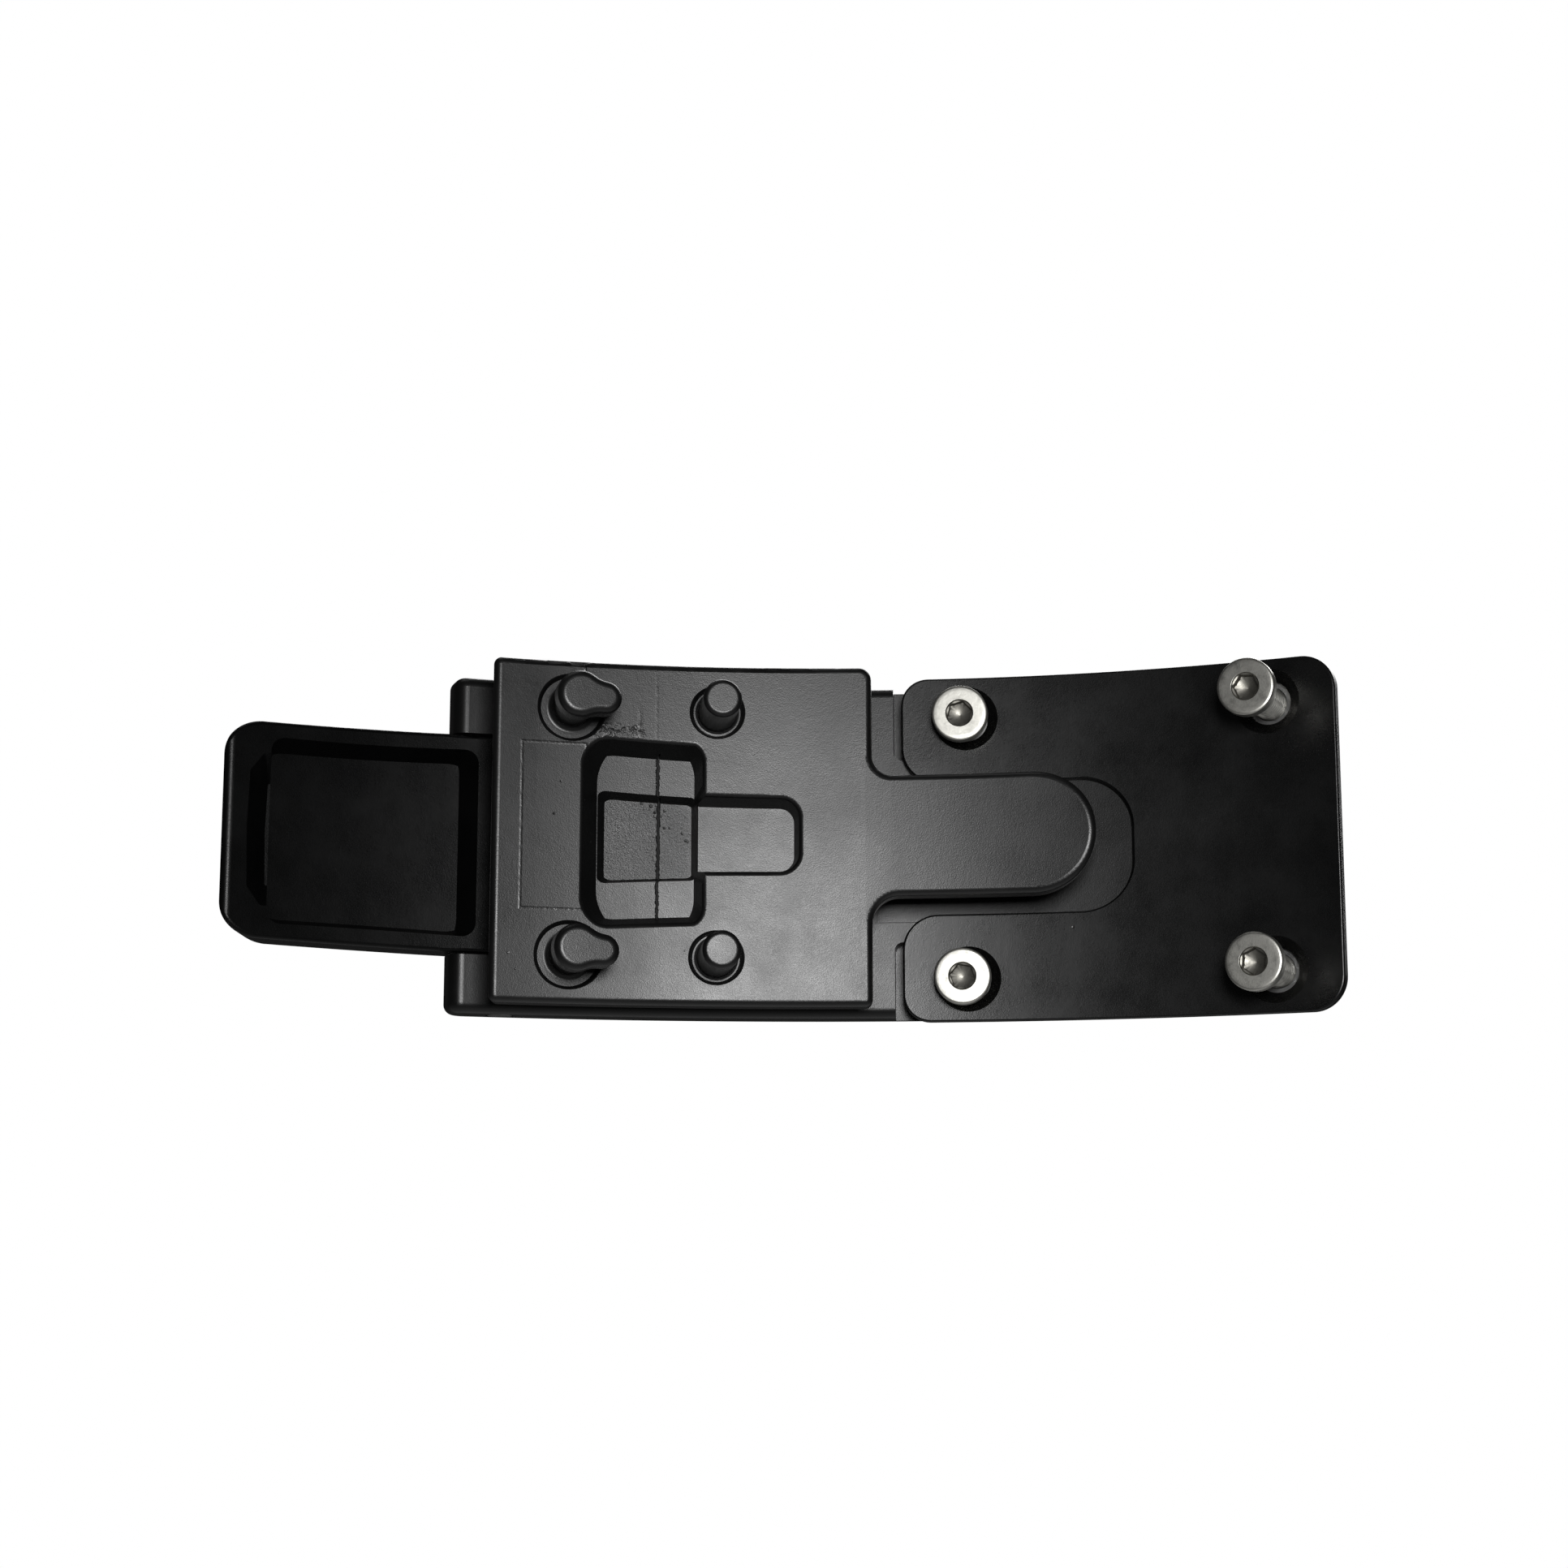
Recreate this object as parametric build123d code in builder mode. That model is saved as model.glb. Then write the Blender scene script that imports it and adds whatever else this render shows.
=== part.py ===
"""Quick-adjust lever buckle for a wide training belt.

The buckle follows the waist: every plate is a piece of a ring about one vertical
axis on the wearer's side.  +Z is up as worn (across the belt), X runs along the
belt, -Y faces the wearer.  The origin is the centre of the four belt screws on the
frame's belt seat.  Lengths along the buckle are first given from the deepest point
of the arc and then moved to that origin.
"""
import os
from math import sqrt, sin, cos, radians, degrees, asin, atan2
from build123d import *

os.makedirs("parts", exist_ok=True)

# ---------------------------------------------------------------- driving sizes (mm)
R_IN = 190.0            # radius of the frame's belt-side surface
FRAME_T = 9.0           # frame and handle thickness
R_OUT = R_IN + FRAME_T
FRAME_W = 60.0          # frame width, across the belt
FRAME_LEFT = -63.9      # left end of the cheeks
FRAME_RIGHT = 87.9      # right end of the frame
FORK_HALF = 19.75       # half the gap between the cheeks
FORK_END = -35.5        # right end of the fork window
BAR_END = 14.1          # right edge of the two bars beside the relief grooves
GROOVE_END = 21.0
GROOVE_Z = 16.5
GROOVE_DEPTH = 5.5
PAD_RISE = 0.6          # raised pad that the backing plate sits on
PAD_HALF = 13.0
PAD_LEFT, PAD_RIGHT = 11.0, 60.0

PLATE_T = 1.8           # backing plate
PLATE_W = 62.0
PLATE_LEFT, PLATE_RIGHT = 15.6, 90.2
PLATE_R_OUT = R_IN - PAD_RISE
PLATE_R_IN = PLATE_R_OUT - PLATE_T
USLOT_END = 55.8
USLOT_HALF = 11.9
USLOT_R = 9.0

HOLE_X = (27.3, 79.5)   # holes of the backing plate along the buckle
SCREW_X = (26.6, 79.4)  # belt screws on the seat; the loose plate has slid a little on them
SCREW_Z = 23.5
SCREW_R = 3.0           # M6
SCREW_L = 16.0
HEAD_R = 5.0
HEAD_T = 2.4
HEX_AF = 4.0
HEX_DEPTH = 1.7
HEAD_LIFT = (5.4, 13.6) # top of each head above the backing plate, near and far pair
PLATE_HOLE_R = 3.9
DIMPLE_R = 5.8          # mouth of the sloped dimple round each hole
DIMPLE_ANGLE = 100.0
INSERT_R = 4.5
INSERT_L = 8.0
THREAD_R = 3.05
BOSS_R = 4.9            # at its top; it widens towards the frame
BOSS_RISE = 4.0

HOOK_R_IN = 171.4       # hook plate, belt-side surface
HOOK_T = 5.4
HOOK_R_OUT = HOOK_R_IN + HOOK_T
HOOK_W = 59.6
HOOK_LEFT, HOOK_RIGHT = -55.7, 9.6
TONGUE_END = 47.9
TONGUE_HALF = 10.6
EDGE_R = 1.15           # rounded edge of the hook plate
POCKET_D = 6.0
CHANNEL_D = 3.0
POST_X = -17.3
PRONG_X = -42.3
POST_Z = 21.5
POST_R = 3.3
POST_H = 12.5

PIN3_R = 2.5            # lever pivot pin
PIN4_R = 2.0            # hook pivot pin
RUN = 0.05              # radial running clearance
LEVER_ARM = 12.0        # distance between the two pivots
ARM_ANGLE = 20.0        # direction of the second pivot from the first, past dead centre
BARREL_R = 4.5
KNUCKLE_R = 3.9
ARM_IN = 9.4            # inner face of the handle's arms
LUG_HALF = 9.1
HANDLE_TIP = -100.8
HANDLE_HALF_ROOT = 19.4
HANDLE_HALF_TIP = 18.7

# origin: middle of the screw pattern on the seat
TH_A = degrees(asin(SCREW_X[0] / R_IN))
TH_B = degrees(asin(SCREW_X[1] / R_IN))
TH_M = (TH_A + TH_B) / 2
OX = R_IN * sin(radians(TH_M))
OY = -R_IN + R_IN * cos(radians(TH_M))
AX, AY = -OX, -R_IN - OY            # the common ring axis


def pol(r, deg):
    """Point on the ring of radius r at an angle from the arc's deepest point."""
    return (AX + r * sin(radians(deg)), AY + r * cos(radians(deg)))


def ang(r, x):
    """Angle at which the ring of radius r stands x along from the deepest point."""
    return degrees(asin(x / r))


def inward(r, x, z, lift=0.0):
    """Plane standing on the ring at x, z; its normal points at the wearer."""
    t = ang(r, x)
    px, py = pol(r - lift, t)
    tr = radians(t)
    return Plane(origin=(px, py, z), x_dir=(cos(tr), -sin(tr), 0), z_dir=(-sin(tr), -cos(tr), 0))


def sx(x):
    return x - OX


FRONT = Plane.XZ.offset(-(30.0 - OY))       # sketch plane outside the buckle, normal to -Y


def ring_part(r1, r2, d1, d2):
    """Closed outline between two radii and two angles, drawn in XY."""
    a, b = pol(r1, d1), pol(r1, d2)
    c, d = pol(r2, d2), pol(r2, d1)
    m1, m2 = pol(r1, (d1 + d2) / 2), pol(r2, (d1 + d2) / 2)
    with BuildLine() as bl:
        ThreePointArc(a, m1, b)
        Line(b, c)
        ThreePointArc(c, m2, d)
        Line(d, a)
    return bl.line


def on_ring(e, r, tol=0.03):
    """True for an edge that lies on the cylinder of radius r about the ring axis."""
    return all(abs(sqrt((e.position_at(t).X - AX) ** 2 + (e.position_at(t).Y - AY) ** 2) - r) < tol
               for t in (0.0, 0.25, 0.5, 0.75, 1.0))


def soften(edges, radii, name):
    """Round the edges at the first radius that the geometry takes."""
    for r in radii:
        try:
            fillet(edges, radius=r)
            return
        except Exception:
            continue
    print("left sharp:", name)


def side_rim(e, r):
    """True for an edge of the ring surface r that doesn't run straight across the belt."""
    return on_ring(e, r) and abs(e.tangent_at(0.5).Z) < 0.99


T3 = -16.72
P3 = pol(R_IN + BARREL_R, T3)
P4 = (P3[0] + LEVER_ARM * cos(radians(ARM_ANGLE)), P3[1] + LEVER_ARM * sin(radians(ARM_ANGLE)))

# ---------------------------------------------------------------- base frame
with BuildPart() as base_frame:
    with BuildSketch() as s:
        add(ring_part(R_IN, R_OUT, ang(R_IN, FRAME_LEFT), ang(R_IN, FRAME_RIGHT)))
        make_face()
        # rounded noses of the cheeks
        noses = s.vertices().sort_by(Axis.X)[:2].sort_by(Axis.Y)
        fillet(noses[0], radius=2.4)
        noses = s.vertices().filter_by(lambda v: abs(sqrt((v.X - AX) ** 2 + (v.Y - AY) ** 2) - R_OUT) < 0.01)
        fillet(noses.sort_by(Axis.X)[0], radius=4.2)
    extrude(amount=FRAME_W / 2, both=True)
    right = base_frame.faces().sort_by(Axis.X)[-1]
    fillet([e for e in right.edges() if e.length < FRAME_T + 1], radius=6.0)
    # softened outer rim
    soften([e for e in base_frame.edges() if side_rim(e, R_OUT)], (1.8, 1.0), "frame outer rim")
    # softened belt-side rim
    soften([e for e in base_frame.edges() if side_rim(e, R_IN) and e.length > 30], (0.5, 0.3), "frame belt-side rim")
    # raised pad under the tongue
    with BuildSketch() as s:
        add(ring_part(R_IN - PAD_RISE + 0.03, R_IN + 1, ang(R_IN, PAD_LEFT), ang(R_IN, PAD_RIGHT)))
        make_face()
    extrude(amount=PAD_HALF, both=True)
    # fork window between the cheeks
    with BuildSketch(FRONT) as s:
        with BuildLine():
            Polyline((sx(-80), -FORK_HALF), (sx(FORK_END), -FORK_HALF), (sx(FORK_END), FORK_HALF),
                     (sx(-80), FORK_HALF), close=True)
        make_face()
        fillet(s.vertices().filter_by(lambda v: v.X > sx(FORK_END) - 0.01), radius=2.5)
    extrude(amount=80, mode=Mode.SUBTRACT)
    # relief grooves beside the bars, open at the long edges
    with BuildSketch() as s:
        add(ring_part(R_IN - 2, R_IN + GROOVE_DEPTH, ang(R_IN, BAR_END), ang(R_IN, GROOVE_END)))
        make_face()
    for side in (1, -1):
        with BuildPart(mode=Mode.PRIVATE) as groove:
            with BuildSketch() as g:
                add(s.sketch)
            extrude(amount=40)
            with BuildSketch(FRONT) as g2:
                with BuildLine():
                    Polyline((sx(BAR_END) - 3, GROOVE_Z), (sx(GROOVE_END) + 3, GROOVE_Z),
                             (sx(GROOVE_END) + 3, 45), (sx(BAR_END) - 3, 45), close=True)
                make_face()
            extrude(amount=80, mode=Mode.INTERSECT)
            fillet(groove.edges().filter_by(lambda e: abs(e.center().Z - GROOVE_Z) < 0.01
                                            and abs(e.bounding_box().size.Z) < 0.01
                                            and e.length < 12 and abs(e.tangent_at(0.5).Y) > 0.7), radius=1.5)
        cut = groove.part if side == 1 else groove.part.mirror(Plane.XY)
        add(cut, mode=Mode.SUBTRACT)
    # bosses on the outer face over the screw inserts
    for x in SCREW_X:
        for z in (SCREW_Z, -SCREW_Z):
            with BuildSketch(inward(R_IN, x, z, lift=-(FRAME_T + BOSS_RISE))) as s:
                Circle(BOSS_R)
            extrude(amount=BOSS_RISE + 2, taper=-8)
    for x in SCREW_X:
        for z in (SCREW_Z, -SCREW_Z):
            with BuildSketch(inward(R_IN, x, z, lift=2)) as s:
                Circle(INSERT_R)
            extrude(amount=-(INSERT_L + 2 + 0.4), mode=Mode.SUBTRACT)
            with BuildSketch(inward(R_IN, x, z, lift=2)) as s:
                Circle(SCREW_R + 0.35)
            extrude(amount=-(2 + 11.6), mode=Mode.SUBTRACT)
    # pivot bores through both cheeks
    with BuildSketch(Plane.XY.offset(-40)) as s:
        with Locations(P3):
            Circle(PIN3_R)
    extrude(amount=80, mode=Mode.SUBTRACT)
base_frame.part.label = "base_frame"

# ---------------------------------------------------------------- backing plate
with BuildPart() as backing_plate:
    with BuildSketch() as s:
        add(ring_part(PLATE_R_IN, PLATE_R_OUT, ang(PLATE_R_OUT, PLATE_LEFT), ang(PLATE_R_OUT, PLATE_RIGHT)))
        make_face()
    extrude(amount=PLATE_W / 2, both=True)
    right = backing_plate.faces().sort_by(Axis.X)[-1]
    fillet([e for e in right.edges() if e.length < 3], radius=6.0)
    left = backing_plate.faces().sort_by(Axis.X)[0]
    fillet([e for e in left.edges() if e.length < 3], radius=4.8)
    with BuildSketch(FRONT) as s:
        with BuildLine():
            Polyline((sx(5), -USLOT_HALF), (sx(USLOT_END), -USLOT_HALF), (sx(USLOT_END), USLOT_HALF),
                     (sx(5), USLOT_HALF), close=True)
        make_face()
        fillet(s.vertices().filter_by(lambda v: v.X > sx(USLOT_END) - 0.01), radius=USLOT_R)
    extrude(amount=80, mode=Mode.SUBTRACT)
    mouth = [e for e in backing_plate.edges()
             if e.length < 3 and abs(abs(e.center().Z) - USLOT_HALF) < 0.01 and e.center().X < sx(PLATE_LEFT) + 1]
    fillet(mouth, radius=6.3)
    rim = [e for e in backing_plate.edges() if on_ring(e, PLATE_R_IN) and e.length > 0.5]
    soften(rim, (0.35, 0.2), "backing plate rim")
    for x in HOLE_X:
        for z in (SCREW_Z, -SCREW_Z):
            with Locations(inward(R_IN, x, z, lift=R_IN - PLATE_R_IN)):
                CounterSinkHole(PLATE_HOLE_R, DIMPLE_R, depth=4, counter_sink_angle=DIMPLE_ANGLE)
backing_plate.part.label = "backing_plate"

# ---------------------------------------------------------------- belt screws and inserts
screws = []
for i, x in enumerate(SCREW_X):
    for z in (SCREW_Z, -SCREW_Z):
        head_top = (R_IN - PLATE_R_IN) + HEAD_LIFT[i]       # above the seat
        with BuildPart() as screw:
            with BuildSketch(inward(R_IN, x, z, lift=head_top - HEAD_T)) as s:
                Circle(HEAD_R)
            extrude(amount=HEAD_T)
            fillet(screw.edges().filter_by(GeomType.CIRCLE), radius=0.35)
            with BuildSketch(inward(R_IN, x, z, lift=head_top - HEAD_T + 0.5)) as s:
                Circle(SCREW_R)
            extrude(amount=-(SCREW_L + 0.5))
            with BuildSketch(inward(R_IN, x, z, lift=head_top + 0.5)) as s:
                RegularPolygon(HEX_AF / 2, 6, major_radius=False)
            extrude(amount=-(0.5 + HEX_DEPTH), mode=Mode.SUBTRACT)
        screw.part.label = "belt_screw_%s_%s" % ("near" if i == 0 else "far", "upper" if z > 0 else "lower")
        screws.append(screw.part)
inserts = []
for i, x in enumerate(SCREW_X):
    for z in (SCREW_Z, -SCREW_Z):
        with BuildPart() as ins:
            with BuildSketch(inward(R_IN, x, z, lift=-0.4)) as s:
                Circle(INSERT_R)
                Circle(THREAD_R, mode=Mode.SUBTRACT)
            extrude(amount=-INSERT_L)
        ins.part.label = "thread_insert_%s_%s" % ("near" if i == 0 else "far", "upper" if z > 0 else "lower")
        inserts.append(ins.part)

# ---------------------------------------------------------------- pivot pins
with BuildPart() as lever_pivot_pin:
    with BuildSketch(Plane.XY.offset(-FRAME_W / 2)) as s:
        with Locations(P3):
            Circle(PIN3_R)
    extrude(amount=FRAME_W)
    chamfer(lever_pivot_pin.edges().filter_by(GeomType.CIRCLE), length=0.4)
lever_pivot_pin.part.label = "lever_pivot_pin"

with BuildPart() as hook_pivot_pin:
    with BuildSketch(Plane.XY.offset(-(HANDLE_HALF_ROOT - 0.4))) as s:
        with Locations(P4):
            Circle(PIN4_R)
    extrude(amount=2 * (HANDLE_HALF_ROOT - 0.4))
    chamfer(hook_pivot_pin.edges().filter_by(GeomType.CIRCLE), length=0.3)
hook_pivot_pin.part.label = "hook_pivot_pin"

# ---------------------------------------------------------------- lever handle
TP = ang(R_IN, -77.0)                 # middle of the finger pocket
with BuildPart() as finger_pocket:
    pc = pol(R_IN - 1.5, TP)
    tr = radians(TP)
    with BuildSketch(Plane(origin=(pc[0], pc[1], 0), x_dir=(cos(tr), -sin(tr), 0), z_dir=(sin(tr), cos(tr), 0))) as s:
        with BuildLine():
            # the plane's local y runs down, so the outline is symmetric about it
            Polyline((-19.0, -16.3), (18.5, -16.9), (18.5, 16.9), (-19.0, 16.3), close=True)
        make_face()
        fillet(s.vertices().filter_by(lambda v: v.X > AX - 1000), radius=2.6)
    extrude(amount=12, taper=13)
    with BuildSketch(Plane.XY.offset(-40)) as s2:
        with Locations((AX, AY)):
            Circle(R_IN + 6.5)
    extrude(amount=80, mode=Mode.INTERSECT)
finger_pocket.part.label = "finger_pocket"

with BuildPart() as pocket_lip:
    # sloped lip in the middle of the pocket's tip end, for the fingertip
    with BuildSketch(Plane(origin=(pc[0], pc[1], 0), x_dir=(cos(tr), -sin(tr), 0), z_dir=(sin(tr), cos(tr), 0))) as s:
        with BuildLine():
            Polyline((-20.2, -13.6), (-5.0, -13.6), (-5.0, 13.6), (-20.2, 13.6), (-22.6, 10.2), (-22.9, 0.0),
                     (-22.6, -10.2), close=True)
        make_face()
        fillet(s.vertices().filter_by(lambda v: True), radius=1.2)
    extrude(amount=6.5, taper=36)

with BuildPart() as lever_handle:
    with BuildSketch() as s:
        add(ring_part(R_IN, R_OUT, ang(R_IN, HANDLE_TIP), T3))
        make_face()
        tipv = s.vertices().sort_by(Axis.X)[:2].sort_by(Axis.Y)
        fillet(tipv[0], radius=1.6)
        tipv = s.vertices().filter_by(lambda v: abs(sqrt((v.X - AX) ** 2 + (v.Y - AY) ** 2) - R_OUT) < 0.01)
        fillet(tipv.sort_by(Axis.X)[0], radius=3.0)
    extrude(amount=HANDLE_HALF_ROOT, both=True)
    # sides draw in slightly towards the tip, corners rounded
    with BuildSketch(FRONT) as s:
        with BuildLine():
            Polyline((sx(HANDLE_TIP) - 0.6, -HANDLE_HALF_TIP), (sx(-66), -HANDLE_HALF_ROOT),
                     (sx(-40), -HANDLE_HALF_ROOT), (sx(-40), HANDLE_HALF_ROOT), (sx(-66), HANDLE_HALF_ROOT),
                     (sx(HANDLE_TIP) - 0.6, HANDLE_HALF_TIP), close=True)
        make_face()
        fillet(s.vertices().filter_by(lambda v: v.X < sx(-90)), radius=6.2)
    extrude(amount=90, mode=Mode.INTERSECT)
    soften([e for e in lever_handle.edges() if side_rim(e, R_OUT)], (1.4, 0.8), "handle outer rim")
    soften([e for e in lever_handle.edges() if side_rim(e, R_IN)], (0.7, 0.4), "handle belt-side rim")
    # barrel about the lever pivot
    with BuildSketch(Plane.XY.offset(-HANDLE_HALF_ROOT)) as s:
        with Locations(P3):
            Circle(BARREL_R)
    extrude(amount=2 * HANDLE_HALF_ROOT)
    # two arms that carry the hook pivot
    dx, dy = P4[0] - P3[0], P4[1] - P3[1]
    u = (dx / LEVER_ARM, dy / LEVER_ARM)
    n = (-u[1], u[0])
    for z0 in (ARM_IN, -HANDLE_HALF_ROOT):
        with BuildSketch(Plane.XY.offset(z0)) as s:
            with BuildLine():
                Polyline((P3[0] + n[0] * 4.2, P3[1] + n[1] * 4.2), (P4[0] + n[0] * KNUCKLE_R, P4[1] + n[1] * KNUCKLE_R),
                         (P4[0] - n[0] * KNUCKLE_R, P4[1] - n[1] * KNUCKLE_R), (P3[0] - n[0] * 4.2, P3[1] - n[1] * 4.2),
                         close=True)
            make_face()
            with Locations(P4):
                Circle(KNUCKLE_R)
        extrude(amount=HANDLE_HALF_ROOT - ARM_IN)
    add(finger_pocket.part, mode=Mode.SUBTRACT)
    add(pocket_lip.part, mode=Mode.SUBTRACT)
    with BuildSketch(Plane.XY.offset(-40)) as s:
        with Locations(P3):
            Circle(PIN3_R + RUN)
    extrude(amount=80, mode=Mode.SUBTRACT)
    with BuildSketch(Plane.XY.offset(-40)) as s:
        with Locations(P4):
            Circle(PIN4_R + RUN)
    extrude(amount=80, mode=Mode.SUBTRACT)
lever_handle.part.label = "lever_handle"

# ---------------------------------------------------------------- hook plate
def y_at(r, x):
    return AY + sqrt(r * r - x * x)


def bay(x1, x2, half, y_start, depth, taper, corner_l, corner_r):
    """Drafted bay drawn on a plane at y_start and running outwards (+Y)."""
    pl = Plane(origin=(0, y_start, 0), x_dir=(1, 0, 0), z_dir=(0, 1, 0))
    with BuildPart() as b:
        with BuildSketch(pl) as sk:
            with BuildLine():
                Polyline((sx(x1), -half), (sx(x2), -half), (sx(x2), half), (sx(x1), half), close=True)
            make_face()
            if corner_l:
                fillet(sk.vertices().filter_by(lambda v: v.X < sx((x1 + x2) / 2)), radius=corner_l)
            if corner_r:
                fillet(sk.vertices().filter_by(lambda v: v.X > sx((x1 + x2) / 2)), radius=corner_r)
        extrude(amount=depth, taper=taper)
    return b.part


def disc(r):
    with BuildPart() as d:
        with BuildSketch(Plane.XY.offset(-45)):
            with Locations((AX, AY)):
                Circle(r)
        extrude(amount=90)
    return d.part


Y_RIM = y_at(HOOK_R_IN, 30.0)
wide_bay = bay(-40.6, -18.3, 16.9, Y_RIM - 3.0, 16, 17, 5.0, 2.2)
narrow_bay = bay(-22.0, -2.5, 7.0, Y_RIM - 0.5, 16, 9, 0, 4.0)
channel_bay = bay(-39.6, -18.9, 9.6, Y_RIM, 18, 17, 1.6, 1.2)
BAYS = (wide_bay + narrow_bay) & disc(HOOK_R_IN + POCKET_D)
CHANNEL = channel_bay & disc(HOOK_R_IN + POCKET_D + CHANNEL_D)

# hooked prong, in its own frame: stands on z = 0, its nose along +x
with BuildPart() as prong:
    with BuildSketch(Plane.XY.offset(-2.2)) as s:
        Circle(3.25)
    extrude(amount=2.2 + POST_H - 2)
    with BuildSketch(Plane.XY.offset(POST_H - 4.6)) as s:
        with Locations((-0.5, 0)):
            Circle(4.0)
        with Locations((3.8, -0.5)):
            Circle(2.75)
        # slight waist between the two lobes
        fillet(s.vertices().filter_by(lambda v: 0 < v.X < 4.5), radius=5.0)
    extrude(amount=4.6)
    soften(prong.faces().sort_by(Axis.Z)[-1].edges(), (1.3, 0.9, 0.6), "prong head")
    under = [e for e in prong.edges() if abs(e.center().Z - (POST_H - 4.6)) < 0.01 and e.length > 1
             and max(abs(e.position_at(t).X) for t in (0, 0.5, 1)) > 3.4]
    soften(under, (0.6, 0.3), "underside of the prong's head")
with BuildPart() as prong_foot:
    with BuildSketch(Plane.XZ) as s:
        with BuildLine():
            Polyline((0, -2.2), (4.3, -2.2), (4.3, -0.95))
            ThreePointArc((4.3, -0.95), (3.56, -0.60), (3.25, 0.2))
            Polyline((3.25, 0.2), (0, 0.2), (0, -2.2))
        make_face()
    revolve(axis=Axis.Z)
# shallow round recess that a prong or post stands in, with a rolled edge
recesses = []
for r in (5.6, 4.4):
    with BuildPart() as recess:
        with BuildSketch(Plane.XZ) as s:
            with BuildLine():
                Polyline((0, -0.95), (r - 0.3, -0.95), (r, -0.6))
                ThreePointArc((r, -0.6), (r + 0.17, -0.14), (r + 0.5, 0.05))
                Polyline((r + 0.5, 0.05), (r + 0.5, 1.5), (0, 1.5), (0, -0.95))
            make_face()
        revolve(axis=Axis.Z)
    recesses.append(recess.part)
with BuildPart() as post:
    with BuildSketch(Plane.XZ) as s:
        with BuildLine():
            Polyline((0, -2.2), (3.9, -2.2), (3.9, -0.95))
            ThreePointArc((3.9, -0.95), (3.48, -0.77), (POST_R, -0.35))
            Line((POST_R, -0.35), (POST_R, POST_H - 0.9))
            ThreePointArc((POST_R, POST_H - 0.9), (POST_R - 0.27, POST_H - 0.26), (POST_R - 0.9, POST_H))
            Polyline((POST_R - 0.9, POST_H), (0, POST_H), (0, -2.2))
        make_face()
    revolve(axis=Axis.Z)

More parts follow.
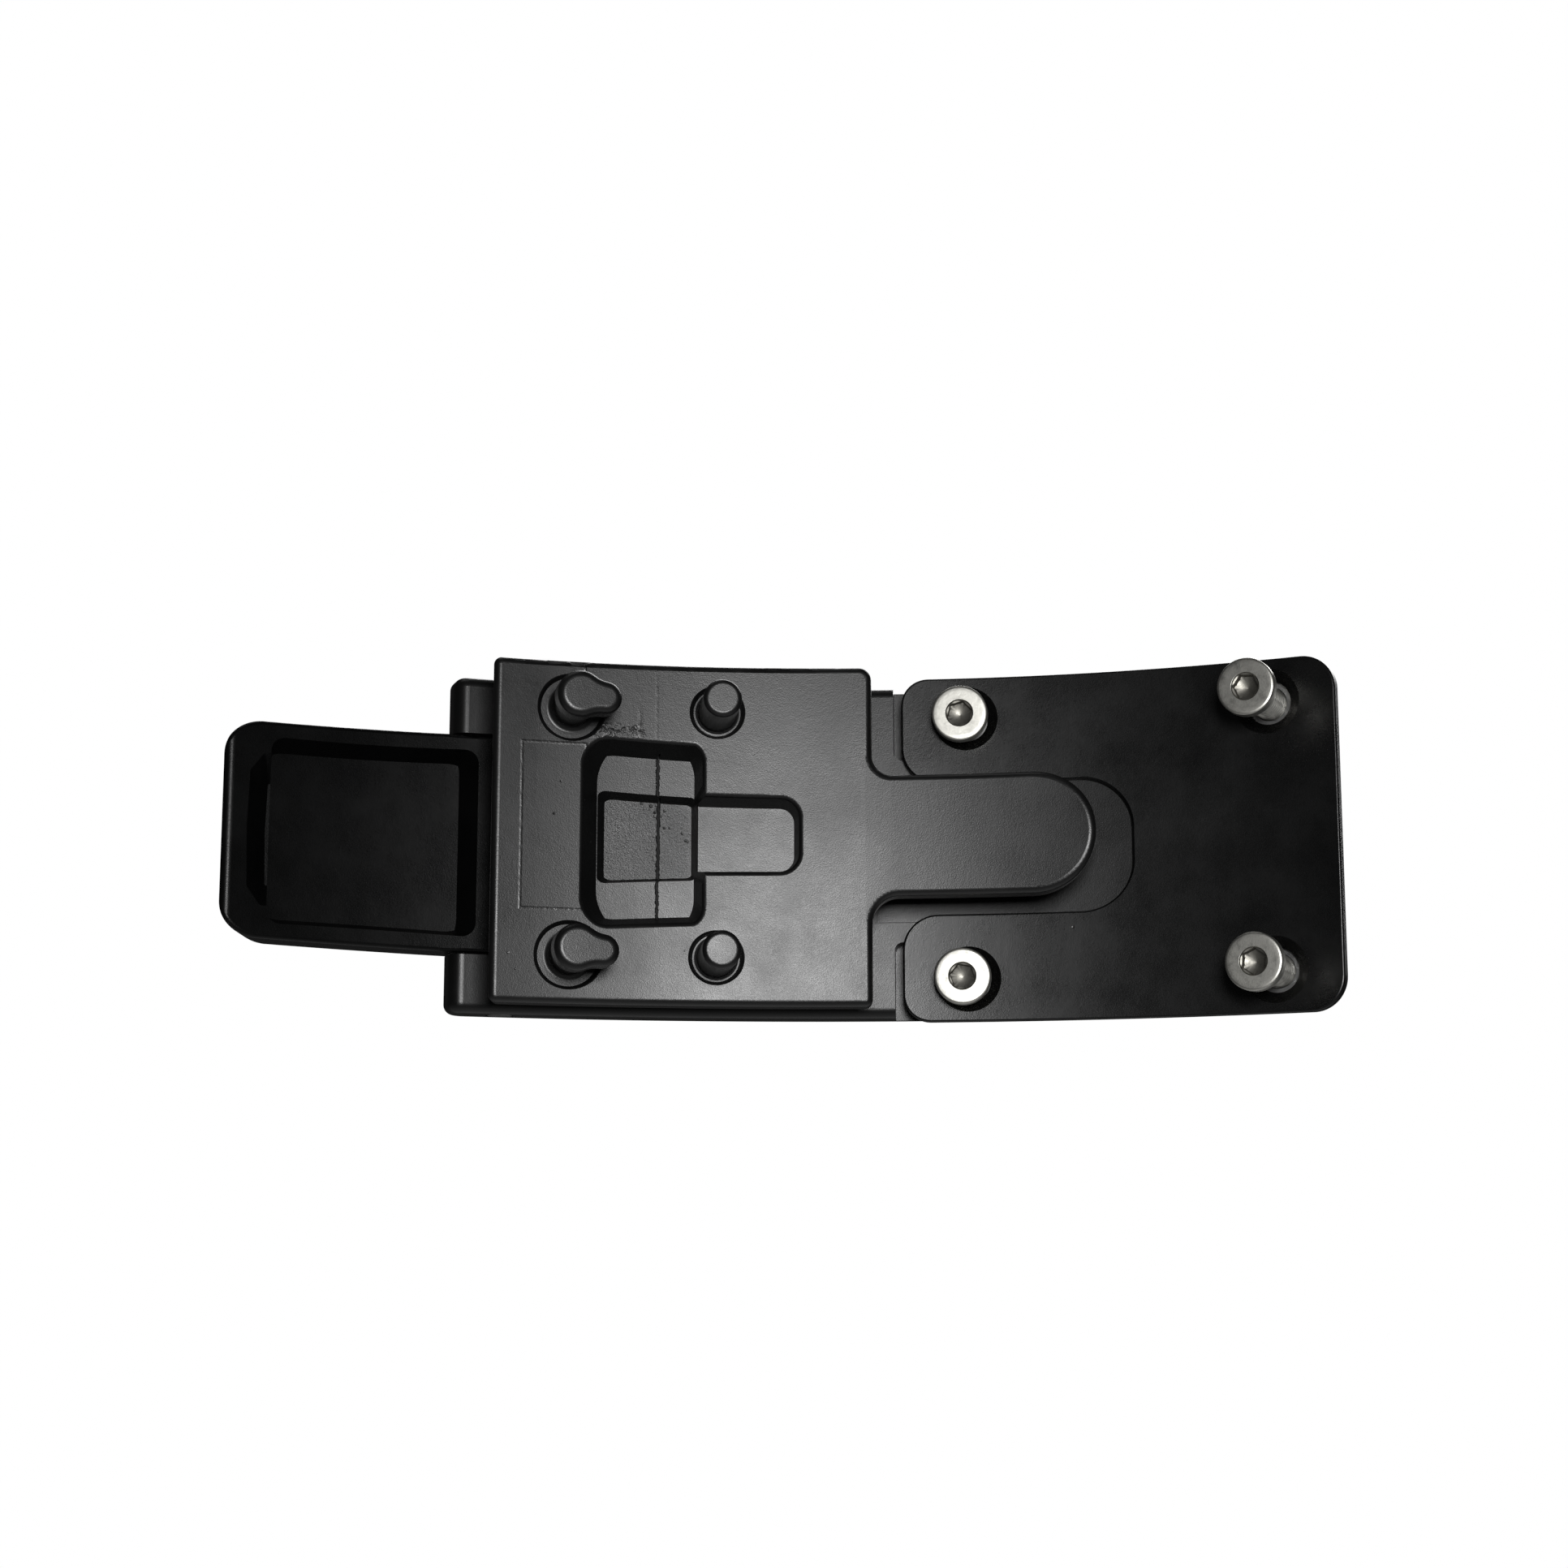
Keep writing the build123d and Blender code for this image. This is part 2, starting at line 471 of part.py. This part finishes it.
with BuildPart() as hook_plate:
    with BuildSketch() as s:
        add(ring_part(HOOK_R_IN, HOOK_R_OUT, ang(HOOK_R_IN, HOOK_LEFT - 4), ang(HOOK_R_IN, TONGUE_END + 4)))
        make_face()
    extrude(amount=HOOK_W / 2, both=True)
    h = HOOK_W / 2
    with BuildSketch(FRONT) as s:
        with BuildLine():
            Polyline((sx(HOOK_LEFT), -h), (sx(HOOK_RIGHT), -h), (sx(HOOK_RIGHT), -TONGUE_HALF),
                     (sx(TONGUE_END), -TONGUE_HALF), (sx(TONGUE_END), TONGUE_HALF), (sx(HOOK_RIGHT), TONGUE_HALF),
                     (sx(HOOK_RIGHT), h), (sx(HOOK_LEFT), h), close=True)
        make_face()
        fillet(s.vertices().filter_by(lambda v: v.X < sx(HOOK_LEFT) + 0.01), radius=1.3)
        fillet(s.vertices().filter_by(lambda v: v.X > sx(TONGUE_END) - 0.01), radius=TONGUE_HALF - 0.05)
        for z, r in ((-h, 1.3), (h, 2.2), (-TONGUE_HALF, 4.8), (TONGUE_HALF, 3.6)):
            fillet(s.vertices().filter_by(lambda v: abs(v.X - sx(HOOK_RIGHT)) < 0.01 and abs(v.Y - z) < 0.01), radius=r)
    extrude(amount=90, mode=Mode.INTERSECT)
    soften([e for e in hook_plate.edges() if on_ring(e, HOOK_R_IN)], (EDGE_R, 0.9, 0.6), "hook plate belt-side rim")
    soften([e for e in hook_plate.edges() if on_ring(e, HOOK_R_OUT)], (0.7, 0.4), "hook plate outer rim")
    # block behind the T-shaped pocket
    for x1, x2, hz in ((-48.3, -16.6, 18.6), (-18.0, -0.2, 9.0)):
        with BuildSketch() as s:
            add(ring_part(HOOK_R_OUT - 1.5, HOOK_R_IN + POCKET_D + CHANNEL_D + 2.2, ang(HOOK_R_IN, x1), ang(HOOK_R_IN, x2)))
            make_face()
        extrude(amount=hz, both=True)
    # lug down to the hook pivot
    yl = y_at(HOOK_R_OUT - 1.5, PRONG_X)
    with BuildSketch() as s:
        with BuildLine():
            Polyline((P4[0] - KNUCKLE_R, yl), (P4[0] + KNUCKLE_R + 3.0, yl), (P4[0] + KNUCKLE_R, P4[1] - 6.0),
                     (P4[0] + KNUCKLE_R, P4[1]), (P4[0] - KNUCKLE_R, P4[1]), close=True)
        make_face()
        with Locations(P4):
            Circle(KNUCKLE_R)
    extrude(amount=LUG_HALF, both=True)
    with BuildSketch(Plane.XY.offset(-40)) as s:
        with Locations(P4):
            Circle(PIN4_R + RUN)
    extrude(amount=80, mode=Mode.SUBTRACT)
    add(BAYS, mode=Mode.SUBTRACT)
    rim = [e for e in hook_plate.edges() if on_ring(e, HOOK_R_IN) and sx(-42) < e.center().X < sx(0)
           and abs(e.center().Z) < 18]
    soften(rim, (0.8, 0.5), "pocket rim")
    add(CHANNEL, mode=Mode.SUBTRACT)
    # fine parting seam across the pocket floors
    for r, z0, z1 in ((HOOK_R_IN + POCKET_D, 5.0, 15.2), (HOOK_R_IN + POCKET_D, -15.2, -5.0),
                      (HOOK_R_IN + POCKET_D + CHANNEL_D, -7.6, 7.6)):
        with BuildSketch(Plane.XY.offset(z0)) as s:
            add(ring_part(r - 2.0, r + 0.35, ang(r, -27.9), ang(r, -27.6)))
            make_face()
        extrude(amount=z1 - z0, mode=Mode.SUBTRACT)
    for z in (POST_Z, -POST_Z):
        add(recesses[0].moved(inward(HOOK_R_IN, PRONG_X, z).location), mode=Mode.SUBTRACT)
        add(recesses[1].moved(inward(HOOK_R_IN, POST_X, z).location), mode=Mode.SUBTRACT)
        add(post.part.moved(inward(HOOK_R_IN, POST_X, z).location))
        add(prong_foot.part.moved(inward(HOOK_R_IN, PRONG_X, z).location))
        add(prong.part.moved(inward(HOOK_R_IN, PRONG_X, z).location))
hook_plate.part.label = "hook_plate"

# ---------------------------------------------------------------- export
export_step(base_frame.part, "parts/base_frame.step")
export_step(backing_plate.part, "parts/backing_plate.step")
export_step(lever_handle.part, "parts/lever_handle.step")
export_step(hook_plate.part, "parts/hook_plate.step")
export_step(lever_pivot_pin.part, "parts/lever_pivot_pin.step")
export_step(hook_pivot_pin.part, "parts/hook_pivot_pin.step")
for p in screws + inserts:
    export_step(p, "parts/%s.step" % p.label)
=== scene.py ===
from math import sin, cos, asin, radians, degrees, pi
import bpy
from mathutils import Vector, Matrix


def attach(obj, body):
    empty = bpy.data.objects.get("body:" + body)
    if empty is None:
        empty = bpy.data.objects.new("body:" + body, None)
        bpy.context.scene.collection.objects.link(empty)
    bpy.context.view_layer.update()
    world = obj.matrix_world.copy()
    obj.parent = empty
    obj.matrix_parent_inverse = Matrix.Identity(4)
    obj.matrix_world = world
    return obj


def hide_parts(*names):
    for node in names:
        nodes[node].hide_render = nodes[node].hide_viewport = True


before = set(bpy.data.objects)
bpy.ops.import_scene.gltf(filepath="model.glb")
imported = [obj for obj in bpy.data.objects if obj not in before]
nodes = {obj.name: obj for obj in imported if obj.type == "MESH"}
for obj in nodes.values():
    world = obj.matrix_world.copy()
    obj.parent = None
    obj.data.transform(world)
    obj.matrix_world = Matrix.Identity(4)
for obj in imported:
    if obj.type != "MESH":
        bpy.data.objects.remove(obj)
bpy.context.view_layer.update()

# ------------------------------------------------------------------ common sizes (mm, as in the CAD)
R_IN = 190.0
SCREW_X = (26.6, 79.4)
tA, tB = degrees(asin(SCREW_X[0] / R_IN)), degrees(asin(SCREW_X[1] / R_IN))
TM = (tA + tB) / 2
OX = R_IN * sin(radians(TM))
OY = -R_IN + R_IN * cos(radians(TM))
AX, AY = -OX, -R_IN - OY


def pol(r, deg):
    return (AX + r * sin(radians(deg)), AY + r * cos(radians(deg)))


# ------------------------------------------------------------------ node helpers
def new_mat(name):
    m = bpy.data.materials.new(name)
    m.use_nodes = True
    nt = m.node_tree
    for n in list(nt.nodes):
        nt.nodes.remove(n)
    out = nt.nodes.new("ShaderNodeOutputMaterial")
    bsdf = nt.nodes.new("ShaderNodeBsdfPrincipled")
    nt.links.new(bsdf.outputs["BSDF"], out.inputs["Surface"])
    return m, nt, bsdf


class G:
    """Small helper to write node graphs."""

    def __init__(self, nt):
        self.nt = nt
        tc = nt.nodes.new("ShaderNodeTexCoord")
        self.obj = tc.outputs["Object"]
        sep = nt.nodes.new("ShaderNodeSeparateXYZ")
        nt.links.new(self.obj, sep.inputs[0])
        self.x, self.y, self.z = sep.outputs

    def _in(self, sock, v):
        if isinstance(v, bpy.types.NodeSocket):
            self.nt.links.new(v, sock)
        elif v is not None:
            sock.default_value = v

    def math(self, op, a, b=None, c=None, clamp=False):
        n = self.nt.nodes.new("ShaderNodeMath")
        n.operation = op
        n.use_clamp = clamp
        self._in(n.inputs[0], a)
        self._in(n.inputs[1], b)
        self._in(n.inputs[2], c)
        return n.outputs[0]

    def noise(self, scale, detail=3.0, rough=0.55, vec=None, dist=0.0):
        n = self.nt.nodes.new("ShaderNodeTexNoise")
        n.inputs["Scale"].default_value = scale
        n.inputs["Detail"].default_value = detail
        n.inputs["Roughness"].default_value = rough
        n.inputs["Distortion"].default_value = dist
        self.nt.links.new(vec if vec is not None else self.obj, n.inputs["Vector"])
        return n.outputs["Fac"]

    def voronoi(self, scale, feature="F1", rand=1.0):
        n = self.nt.nodes.new("ShaderNodeTexVoronoi")
        n.feature = feature
        n.inputs["Scale"].default_value = scale
        n.inputs["Randomness"].default_value = rand
        self.nt.links.new(self.obj, n.inputs["Vector"])
        return n.outputs["Distance"]

    def ramp(self, fac, stops):
        n = self.nt.nodes.new("ShaderNodeValToRGB")
        els = n.color_ramp.elements
        while len(els) < len(stops):
            els.new(0.5)
        for e, (p, c) in zip(els, stops):
            e.position = p
            e.color = c if len(c) == 4 else (*c, 1)
        self.nt.links.new(fac, n.inputs[0])
        return n.outputs["Color"]

    def maprange(self, v, a, b, c, d):
        n = self.nt.nodes.new("ShaderNodeMapRange")
        n.clamp = True
        self._in(n.inputs["Value"], v)
        for k, w in (("From Min", a), ("From Max", b), ("To Min", c), ("To Max", d)):
            n.inputs[k].default_value = w
        return n.outputs["Result"]

    def bump(self, height, strength, dist, normal=None):
        n = self.nt.nodes.new("ShaderNodeBump")
        n.inputs["Strength"].default_value = strength
        n.inputs["Distance"].default_value = dist
        self.nt.links.new(height, n.inputs["Height"])
        if normal is not None:
            self.nt.links.new(normal, n.inputs["Normal"])
        return n.outputs["Normal"]

    def mix(self, fac, a, b):
        n = self.nt.nodes.new("ShaderNodeMix")
        n.data_type = "RGBA"
        self._in(n.inputs[0], fac)
        self._in(n.inputs[6], a)
        self._in(n.inputs[7], b)
        return n.outputs[2]

    def band(self, v, lo, hi, soft):
        """1 between lo and hi, with soft shoulders."""
        a = self.maprange(v, lo - soft, lo + soft, 0.0, 1.0)
        b = self.maprange(v, hi - soft, hi + soft, 1.0, 0.0)
        return self.math("MULTIPLY", a, b)


def powder_coat(name, base, rough, marks=False, grain=1.0, spec=0.62):
    """Satin black powder coat over a die casting: fine orange peel, colour mottle, pale flecks, a few dust specks and
    small pits.
    """
    m, nt, bsdf = new_mat(name)
    g = G(nt)
    big = g.noise(90.0, 4.0, 0.6)
    mid = g.noise(900.0, 3.0, 0.6)
    fine = g.noise(5200.0, 2.0, 0.6)
    speck = g.voronoi(2600.0)
    # colour: dark, with a slow mottle and small pale flecks of the powder
    lo = tuple(c * 0.78 for c in base)
    hi = tuple(c * 1.30 for c in base)
    col = g.ramp(big, [(0.30, lo), (0.70, hi)])
    fleck = g.maprange(speck, 0.05, 0.16, 1.0, 0.0)
    fleck2 = g.math("MULTIPLY", fleck, g.maprange(mid, 0.50, 0.72, 0.0, 0.55))
    col = g.mix(fleck2, col, tuple(min(1, c * 3.2) for c in base) + (1,))
    # dust: very few small bright specks
    dust_c = g.voronoi(160.0)
    dust = g.math("MULTIPLY", g.maprange(dust_c, 0.012, 0.022, 1.0, 0.0), g.maprange(big, 0.55, 0.60, 0.0, 0.6))
    col = g.mix(dust, col, (0.22, 0.22, 0.21, 1))
    h = g.math("ADD", g.math("MULTIPLY", fine, 0.60 * grain), g.math("MULTIPLY", mid, 0.30))
    r = g.math("ADD", g.maprange(big, 0.3, 0.7, rough - 0.035, rough + 0.04), g.maprange(fine, 0.3, 0.7, -0.03, 0.03))
    if marks:
        # ejector witness rectangle, gate mark and faint parting lines on the hook plate
        X, Z = g.x, g.z
        mm = 0.001

        def xx(v):
            return (v - OX) * mm
        inner = g.band(X, xx(-50.4), xx(-40.0), 0.00012)
        tall = g.band(Z, -0.0135, 0.0150, 0.00012)
        rect = g.math("MULTIPLY", inner, tall)
        rect_o = g.math("MULTIPLY", g.band(X, xx(-50.75), xx(-39.65), 0.00012), g.band(Z, -0.01385, 0.01535, 0.00012))
        line = g.math("SUBTRACT", rect_o, rect, clamp=True)
        v1 = g.math("MULTIPLY", g.band(X, xx(-40.3), xx(-40.0), 0.0001), g.band(Z, 0.0280, 0.0300, 0.0004))
        v2 = g.math("MULTIPLY", g.band(X, xx(-30.9), xx(-30.4), 0.0003), g.band(Z, 0.0170, 0.0215, 0.0012))
        v2 = g.math("MULTIPLY", v2, 0.35)
        v3 = g.math("MULTIPLY", g.band(X, xx(-28.0), xx(-27.6), 0.0002), g.band(Z, 0.0170, 0.0275, 0.0020))
        v3 = g.math("MULTIPLY", v3, 0.22)
        lines = g.math("ADD", g.math("MULTIPLY", line, 0.5), g.math("ADD", v1, g.math("ADD", v2, v3)), clamp=True)
        wob = g.maprange(mid, 0.35, 0.65, 0.35, 1.0)
        lines = g.math("MULTIPLY", lines, wob)
        dx = g.math("SUBTRACT", X, AX * mm)
        dy = g.math("SUBTRACT", g.y, AY * mm)
        rad = g.math("SQRT", g.math("ADD", g.math("MULTIPLY", dx, dx), g.math("MULTIPLY", dy, dy)))
        skin = g.band(rad, 0.17125, 0.17160, 0.00004)
        lines = g.math("MULTIPLY", lines, skin)
        gate = g.math("MULTIPLY", g.band(X, xx(-39.0), xx(-30.5), 0.0012), g.band(Z, 0.0168, 0.0186, 0.0006))
        gate = g.math("MULTIPLY", gate, g.math("MULTIPLY", skin, g.maprange(mid, 0.45, 0.6, 0.0, 1.0)))
        chan = g.band(rad, 0.17950, 0.18100, 0.0002)
        cpit = g.maprange(g.voronoi(900.0), 0.10, 0.28, 1.0, 0.0)
        cpit = g.math("MULTIPLY", g.math("MULTIPLY", cpit, g.maprange(big, 0.50, 0.60, 0.0, 1.0)), chan)
        crough = g.math("MULTIPLY", g.noise(2600.0, 4.0, 0.7), chan)
        pocket = g.band(rad, 0.17600, 0.18100, 0.0002)
        jag = g.math("MULTIPLY", g.math("SUBTRACT", g.noise(1400.0, 3.0, 0.7), 0.5), 0.0009)
        sxx = g.math("ADD", X, jag)
        seam = g.math("MULTIPLY", g.band(sxx, xx(-28.05), xx(-27.65), 0.00012), pocket)
        h = g.math("SUBTRACT", h, g.math("MULTIPLY", cpit, 4.0))
        h = g.math("ADD", h, g.math("MULTIPLY", crough, 1.6))
        h = g.math("SUBTRACT", h, g.math("MULTIPLY", seam, 5.0))
        col = g.mix(g.math("MULTIPLY", seam, 0.85), col, (0.0008, 0.0008, 0.0008, 1))
        col = g.mix(g.math("MULTIPLY", cpit, 0.6), col, (0.0015, 0.0014, 0.0013, 1))
        r = g.math("ADD", r, g.math("MULTIPLY", seam, 0.35))
        h = g.math("ADD", h, g.math("MULTIPLY", lines, 2.2))
        h = g.math("ADD", h, g.math("MULTIPLY", gate, 2.6))
        r = g.math("SUBTRACT", r, g.math("MULTIPLY", lines, 0.06))
    pits_c = g.voronoi(260.0)
    pits = g.math("MULTIPLY", g.maprange(pits_c, 0.03, 0.07, 1.0, 0.0), g.maprange(big, 0.58, 0.66, 0.0, 1.0))
    h = g.math("SUBTRACT", h, g.math("MULTIPLY", pits, 3.0))
    n = g.bump(h, 0.55, 0.00006)
    nt.links.new(col, bsdf.inputs["Base Color"])
    nt.links.new(r, bsdf.inputs["Roughness"])
    nt.links.new(n, bsdf.inputs["Normal"])
    bsdf.inputs["IOR"].default_value = 1.55
    bsdf.inputs["Specular IOR Level"].default_value = spec
    return m


def bright_steel(name, base, rough, swirl=True):
    """Zinc-plated or ground steel: cloudy plating, fine surface grain, slightly warm."""
    m, nt, bsdf = new_mat(name)
    g = G(nt)
    cloud = g.noise(700.0, 4.0, 0.65)
    fine = g.noise(6000.0, 2.0, 0.5)
    col = g.ramp(cloud, [(0.30, tuple(c * 0.72 for c in base)), (0.52, base),
                         (0.74, tuple(min(1, c * 1.18) for c in base))])
    r = g.math("ADD", g.maprange(cloud, 0.3, 0.7, rough + 0.08, rough - 0.06), g.maprange(fine, 0.3, 0.7, -0.03, 0.03))
    h = g.math("ADD", g.math("MULTIPLY", cloud, 1.0), g.math("MULTIPLY", fine, 0.5))
    n = g.bump(h, 0.4, 0.00004)
    nt.links.new(col, bsdf.inputs["Base Color"])
    nt.links.new(r, bsdf.inputs["Roughness"])
    nt.links.new(n, bsdf.inputs["Normal"])
    bsdf.inputs["Metallic"].default_value = 1.0
    return m


M_HOOK = powder_coat("hook_powder_coat", (0.0062, 0.0063, 0.0064), 0.335, marks=True)
M_FRAME = powder_coat("frame_powder_coat", (0.0050, 0.0051, 0.0052), 0.325, spec=0.50)
# lever: the same powder coat as the hook plate, with a darker base colour and weaker specular as painted shade for its
# dim, obliquely lit faces
M_LEVER_PAINTED_SHADE = powder_coat("lever_powder_coat_painted_shade", (0.0028, 0.0029, 0.0030), 0.29, spec=0.24)
M_PLATE = powder_coat("plate_coating", (0.0026, 0.0027, 0.0028), 0.285, grain=0.7, spec=0.52)
M_SCREW = bright_steel("bright_zinc", (0.70, 0.69, 0.64), 0.37)
# socket interior: the same zinc plating with a much darker base colour, painted shade for the hexagon recess
M_SOCKET_PAINTED_SHADE = bright_steel("socket_zinc_painted_shade", (0.30, 0.29, 0.26), 0.42)
M_PIN = bright_steel("ground_steel", (0.40, 0.40, 0.40), 0.32)


def dress(name, mat):
    o = nodes[name]
    o.data.materials.clear()
    o.data.materials.append(mat)


for n, m in (("hook_plate", M_HOOK), ("base_frame", M_FRAME), ("lever_handle", M_LEVER_PAINTED_SHADE), ("backing_plate", M_PLATE),
             ("lever_pivot_pin", M_PIN), ("hook_pivot_pin", M_PIN)):
    dress(n, m)
for n in nodes:
    if n.startswith("thread_insert"):
        dress(n, M_PIN)


# ------------------------------------------------------------------ threaded belt screws
def screw_mesh(name, head_lift_mm, x_mm, z_mm, turn, length=16.0, pitch=1.0):
    """Low-head hexagon-socket screw with a rolled thread, standing on the local normal of the seat."""
    N = 72
    t = degrees(asin(x_mm / R_IN))
    ox, oy = pol(R_IN, t)
    inward = Vector((-sin(radians(t)), -cos(radians(t)), 0.0))
    side = Vector((cos(radians(t)), -sin(radians(t)), 0.0))
    up = Vector((0, 0, 1))
    org = Vector((ox, oy, z_mm)) + inward * head_lift_mm     # centre of the head's top face
    rings = []

    def hexr(phi, af):
        a = (phi + turn + pi / 6) % (pi / 3) - pi / 6
        return (af / 2) / cos(a)

    def ring(fn, h):
        rings.append([(fn(2 * pi * k / N), 2 * pi * k / N, h) for k in range(N)])

    def const(r):
        return lambda p: r
    # socket, from its drilled bottom up to the rim
    ring(const(0.02), -2.25)
    ring(const(1.2), -2.0)
    ring(lambda p: min(hexr(p, 4.0), 1.95), -1.72)
    ring(lambda p: hexr(p, 4.0) - 0.05, -1.64)
    ring(lambda p: hexr(p, 4.0), -1.55)
    ring(lambda p: hexr(p, 4.0), -0.9)
    ring(lambda p: hexr(p, 4.0), -0.30)
    ring(lambda p: max(hexr(p, 4.0), 2.30), -0.22)
    ring(const(2.46), -0.02)
    ring(const(2.50), 0.0)
    ring(const(3.2), 0.0)
    ring(const(3.9), 0.0)
    ring(const(4.50), 0.0)
    ring(const(4.66), -0.02)
    ring(const(4.84), -0.10)
    ring(const(4.95), -0.22)
    ring(const(5.0), -0.38)
    ring(const(5.0), -1.2)
    ring(const(5.0), -2.05)
    ring(const(4.94), -2.22)
    ring(const(4.78), -2.36)
    ring(const(4.6), -2.40)
    ring(const(3.5), -2.40)
    ring(const(3.05), -2.52)
    ring(const(2.72), -2.72)
    # thread
    r0, r1 = 2.45, 2.97
    top, end = -2.75, -2.4 - length
    step = pitch / 9
    n = int((top - end) / step)
    for i in range(n + 1):
        h = top - i * step
        fade = min(1.0, (top - h) / 1.1, max(0.0, (h - end) / 0.9))

        def thr(p, h=h, fade=fade):
            u = (h / pitch - p / (2 * pi)) % 1.0
            w = abs(u - 0.5) * 2                # 0 at the crest, 1 at the root
            w = min(1.0, max(0.0, (w - 0.10) / 0.72))
            r = r1 + (r0 - r1) * (w * w * (3 - 2 * w) * 0.35 + w * 0.65)
            return r0 + (r - r0) * fade
        rings.append([(thr(2 * pi * k / N), 2 * pi * k / N, h) for k in range(N)])
    ring(const(2.2), end - 0.0)
    ring(const(0.02), end - 0.0)
    verts, faces = [], []
    for rg in rings:
        for r, p, h in rg:
            q = org + (side * (r * cos(p)) + up * (r * sin(p))) + inward * h
            verts.append(tuple(q * 0.001))
    for a in range(len(rings) - 1):
        for k in range(N):
            k2 = (k + 1) % N
            faces.append((a * N + k, (a + 1) * N + k, (a + 1) * N + k2, a * N + k2))
    faces.append(tuple(range(N)))
    last = (len(rings) - 1) * N
    faces.append(tuple(last + k for k in reversed(range(N))))
    me = bpy.data.meshes.new(name)
    me.from_pydata(verts, [], faces)
    me.update()
    import bmesh
    bm = bmesh.new()
    bm.from_mesh(me)
    bmesh.ops.recalc_face_normals(bm, faces=bm.faces)
    bm.to_mesh(me)
    bm.free()
    me.materials.append(M_SCREW)
    me.materials.append(M_SOCKET_PAINTED_SHADE)
    for p in me.polygons:
        p.use_smooth = True
        if max(me.vertices[v].index for v in p.vertices) < 9 * N:     # faces inside the socket get the darkened zinc, painted shade for the recess
            p.material_index = 1
    me.set_sharp_from_angle(angle=radians(19))
    o = bpy.data.objects.new(name, me)
    bpy.context.scene.collection.objects.link(o)
    return o


LIFT = {"near": 2.4 + 5.4, "far": 2.4 + 13.6}
for i, (w, x) in enumerate((("near", SCREW_X[0]), ("far", SCREW_X[1]))):
    for j, (s, z) in enumerate((("upper", 23.5), ("lower", -23.5))):
        o = screw_mesh("threaded_screw_%s_%s" % (w, s), LIFT[w], x, z, turn=radians((15, 40, 35, 5)[2 * i + j]))
        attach(o, "base")
        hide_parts("belt_screw_%s_%s" % (w, s))

# ------------------------------------------------------------------ floor, light, camera
floor_mesh = bpy.data.meshes.new("studio_floor")
floor_mesh.from_pydata([(-4, -4, -0.8), (4, -4, -0.8), (4, 4, -0.8), (-4, 4, -0.8)], [], [(0, 1, 2, 3)])
floor = bpy.data.objects.new("studio_floor", floor_mesh)
bpy.context.scene.collection.objects.link(floor)
mf, ntf, bf = new_mat("pale_floor")
gf = G(ntf)
cf = gf.ramp(gf.noise(1.2, 2.0), [(0.3, (0.82, 0.82, 0.82)), (0.7, (0.86, 0.86, 0.86))])
ntf.links.new(cf, bf.inputs["Base Color"])
bf.inputs["Roughness"].default_value = 0.8
floor_mesh.materials.append(mf)

world = bpy.data.worlds.new("studio")
bpy.context.scene.world = world
world.use_nodes = True
wn = world.node_tree
bg = wn.nodes["Background"]
bg.inputs["Color"].default_value = (1, 1, 1, 1)
lp = wn.nodes.new("ShaderNodeLightPath")
mr = wn.nodes.new("ShaderNodeMapRange")
mr.inputs["To Min"].default_value = 0.022
mr.inputs["To Max"].default_value = 1.0
wn.links.new(lp.outputs["Is Camera Ray"], mr.inputs["Value"])
wn.links.new(mr.outputs["Result"], bg.inputs["Strength"])
bpy.context.scene.view_settings.view_transform = "Standard"


def area(name, loc, target, size, power, size_y=None):
    l = bpy.data.lights.new(name, "AREA")
    l.energy = power
    l.size = size
    if size_y:
        l.shape = "RECTANGLE"
        l.size_y = size_y
    o = bpy.data.objects.new(name, l)
    o.location = loc
    d = Vector(target) - Vector(loc)
    o.rotation_euler = d.to_track_quat("-Z", "Y").to_euler()
    bpy.context.scene.collection.objects.link(o)
    return o


CX = -5.7 - OX
mid = Vector((-0.059, 0.0, 0.0))
area("key", (-0.0136, -0.55, 0.004), mid, 0.11, 1.5)
area("rim_top", (mid.x - 0.2, 0.10, 0.9), mid, 0.5, 0.35)
area("back", (mid.x + 0.3, 0.9, 0.5), mid, 0.9, 9.0)

cam_d = bpy.data.cameras.new("camera")
cam_d.sensor_width = 36.0
cam_d.lens = 63.5
cam = bpy.data.objects.new("camera", cam_d)
EL = 10.3
D = 500.0
q = Vector((CX, -OY, 12.35))
pos = q - D * Vector((0, cos(radians(EL)), sin(radians(EL))))
cam.location = pos * 0.001
cam.rotation_euler = (radians(90 + EL), 0, 0)
bpy.context.scene.collection.objects.link(cam)
bpy.context.scene.camera = cam

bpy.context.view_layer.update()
